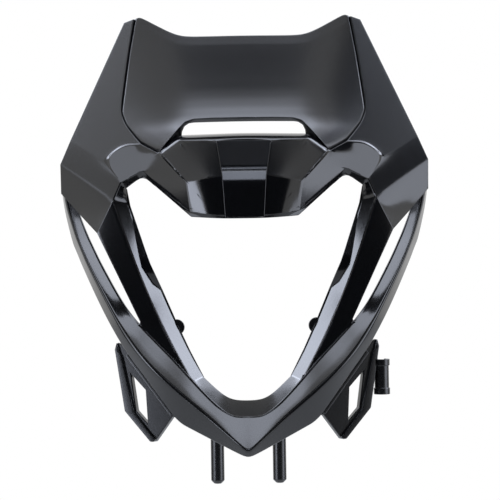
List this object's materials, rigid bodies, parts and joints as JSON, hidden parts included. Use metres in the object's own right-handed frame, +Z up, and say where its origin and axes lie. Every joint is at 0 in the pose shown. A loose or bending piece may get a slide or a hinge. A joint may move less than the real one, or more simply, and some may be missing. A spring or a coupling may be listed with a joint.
{
  "type": "motorcycle front fairing",
  "caption": "Headlight mask for a motorcycle: a flared number plate over a nose and a V-shaped lamp opening, with ears, pegs and side vents.",
  "frame": {"origin": "midway between the axes of the two fixing pegs, 12 mm below the floor they stand on", "axes": "X to the viewer's right, Y away from the viewer into the bike, Z up"},
  "size_m": [0.293, 0.1028, 0.363],
  "materials": {
    "gloss_black_plastic": "as-moulded gloss",
    "grained_black_plastic": "fine moulded grain"
  },
  "bodies": {
    "root": {"fairing_shell": "gloss_black_plastic"}
  },
  "joints": []
}
